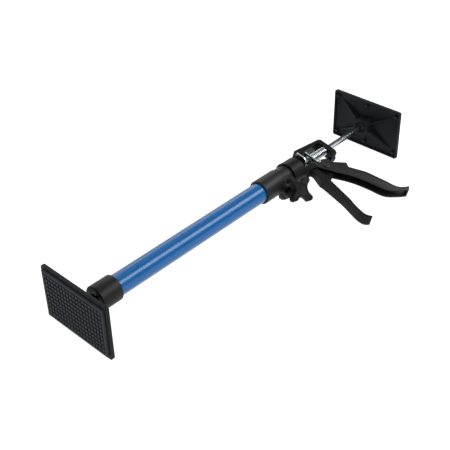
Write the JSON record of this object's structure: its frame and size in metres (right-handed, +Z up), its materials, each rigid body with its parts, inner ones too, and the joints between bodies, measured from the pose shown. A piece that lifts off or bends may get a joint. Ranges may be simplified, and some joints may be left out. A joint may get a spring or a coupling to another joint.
{
  "type": "telescopic drywall support pole",
  "caption": "Telescopic prop with tilting padded plates, a star-knob tube clamp and a squeeze-lever rod drive for holding boards up against a ceiling.",
  "frame": {"origin": "centre of the base pad's outer face, on the pole's axis", "axes": "+X along the pole from the base pad to the head pad, +Z up with the pole lying on the long edges of its plates, levers towards -Y"},
  "size_m": [0.5631, 0.1835, 0.076],
  "materials": {
    "pad_rubber": "matt moulded rubber with small square bumps",
    "plate_plastic": "glass filled nylon, fine grain",
    "bearing_plastic": "natural nylon",
    "zinc_steel": "bright zinc plated steel",
    "cap_plastic": "satin black moulded plastic",
    "blue_paint": "glossy blue powder coat on steel tube",
    "black_steel": "blackened steel",
    "insert_brass": "turned brass",
    "knob_plastic": "matt black plastic with a fine grain",
    "cast_black": "satin black paint over die-cast metal",
    "spring_steel": "bright zinc plated spring wire"
  },
  "bodies": {
    "outer_body": {"outer_tube": "blue_paint", "foot_cap": "cap_plastic", "base_stud_nut": "zinc_steel", "clamp_collar": "cap_plastic", "clamp_bolt": "black_steel", "clamp_washer": "zinc_steel"},
    "base_stud": {"base_ball_stud": "black_steel"},
    "base_seat": {"base_ball_seat": "cap_plastic"},
    "base_foot": {"base_plate": "plate_plastic", "base_grip_pad": "pad_rubber"},
    "knob": {"star_knob": "knob_plastic", "knob_insert": "insert_brass"},
    "inner_body": {"inner_tube": "zinc_steel", "inner_tube_bush": "bearing_plastic", "drive_housing": "cast_black", "socket_rivet": "zinc_steel", "pivot_pin": "black_steel", "pivot_clip": "black_steel"},
    "trigger": {"trigger": "cast_black"},
    "driver": {"drive_plate": "zinc_steel", "drive_spring": "spring_steel"},
    "release": {"release_plate": "zinc_steel", "release_spring": "spring_steel"},
    "rod": {"push_rod": "zinc_steel", "rod_stop": "bearing_plastic", "rod_stop_screw": "zinc_steel"},
    "head_stud": {"head_ball_stud": "black_steel"},
    "head_seat": {"head_ball_seat": "cap_plastic"},
    "head_foot": {"head_plate": "plate_plastic", "head_grip_pad": "pad_rubber"}
  },
  "joints": [
    {"name": "base_swivel", "type": "hinge", "parent": "outer_body", "child": "base_stud", "pos_m": [0.013, 0, 0], "axis": [1, 0, 0], "continuous": true},
    {"name": "base_tilt_long", "type": "hinge", "parent": "base_stud", "child": "base_seat", "pos_m": [0.013, 0, 0], "axis": [0, 1, 0], "range_deg": [-18, 18]},
    {"name": "base_tilt_short", "type": "hinge", "parent": "base_seat", "child": "base_foot", "pos_m": [0.013, 0, 0], "axis": [0, 0, 1], "range_deg": [-18, 18]},
    {"name": "knob_turn", "type": "hinge", "parent": "outer_body", "child": "knob", "pos_m": [0.358, -0.0138, -0.0171], "axis": [0, 0.7782, -0.628], "range_deg": [-300, 0]},
    {"name": "tube_extend", "type": "slide", "parent": "outer_body", "child": "inner_body", "axis": [1, 0, 0], "range_m": [0, 0.27]},
    {"name": "trigger_squeeze", "type": "hinge", "parent": "inner_body", "child": "trigger", "pos_m": [0.4275, -0.0262, -0.0065], "axis": [0, 0.2419, -0.9703], "range_deg": [0, 25], "stiffness_Nm_per_rad": 0.5, "springref_deg": -8.59},
    {"name": "driver_slide", "type": "slide", "parent": "inner_body", "child": "driver", "axis": [1, 0, 0], "range_m": [0, 0.0073], "deforming": ["drive_spring"]},
    {"name": "release_tip", "type": "hinge", "parent": "inner_body", "child": "release", "pos_m": [0.4026, 0.0022, -0.0087], "axis": [0, 0.9703, 0.2419], "range_deg": [-3.5, 0], "stiffness_Nm_per_rad": 0.1, "springref_deg": 5.73, "deforming": ["release_spring"]},
    {"name": "rod_drive", "type": "slide", "parent": "inner_body", "child": "rod", "axis": [1, 0, 0], "range_m": [-0.068, 0.18]},
    {"name": "head_swivel", "type": "hinge", "parent": "rod", "child": "head_stud", "pos_m": [0.5501, 0, 0], "axis": [1, 0, 0], "continuous": true},
    {"name": "head_tilt_long", "type": "hinge", "parent": "head_stud", "child": "head_seat", "pos_m": [0.5501, 0, 0], "axis": [0, 1, 0], "range_deg": [-18, 18]},
    {"name": "head_tilt_short", "type": "hinge", "parent": "head_seat", "child": "head_foot", "pos_m": [0.5501, 0, 0], "axis": [0, 0, 1], "range_deg": [-18, 18]}
  ],
  "couplings": [
    {"joint": "driver_slide", "follows": "trigger_squeeze", "m_per_rad": 0.0164}
  ]
}
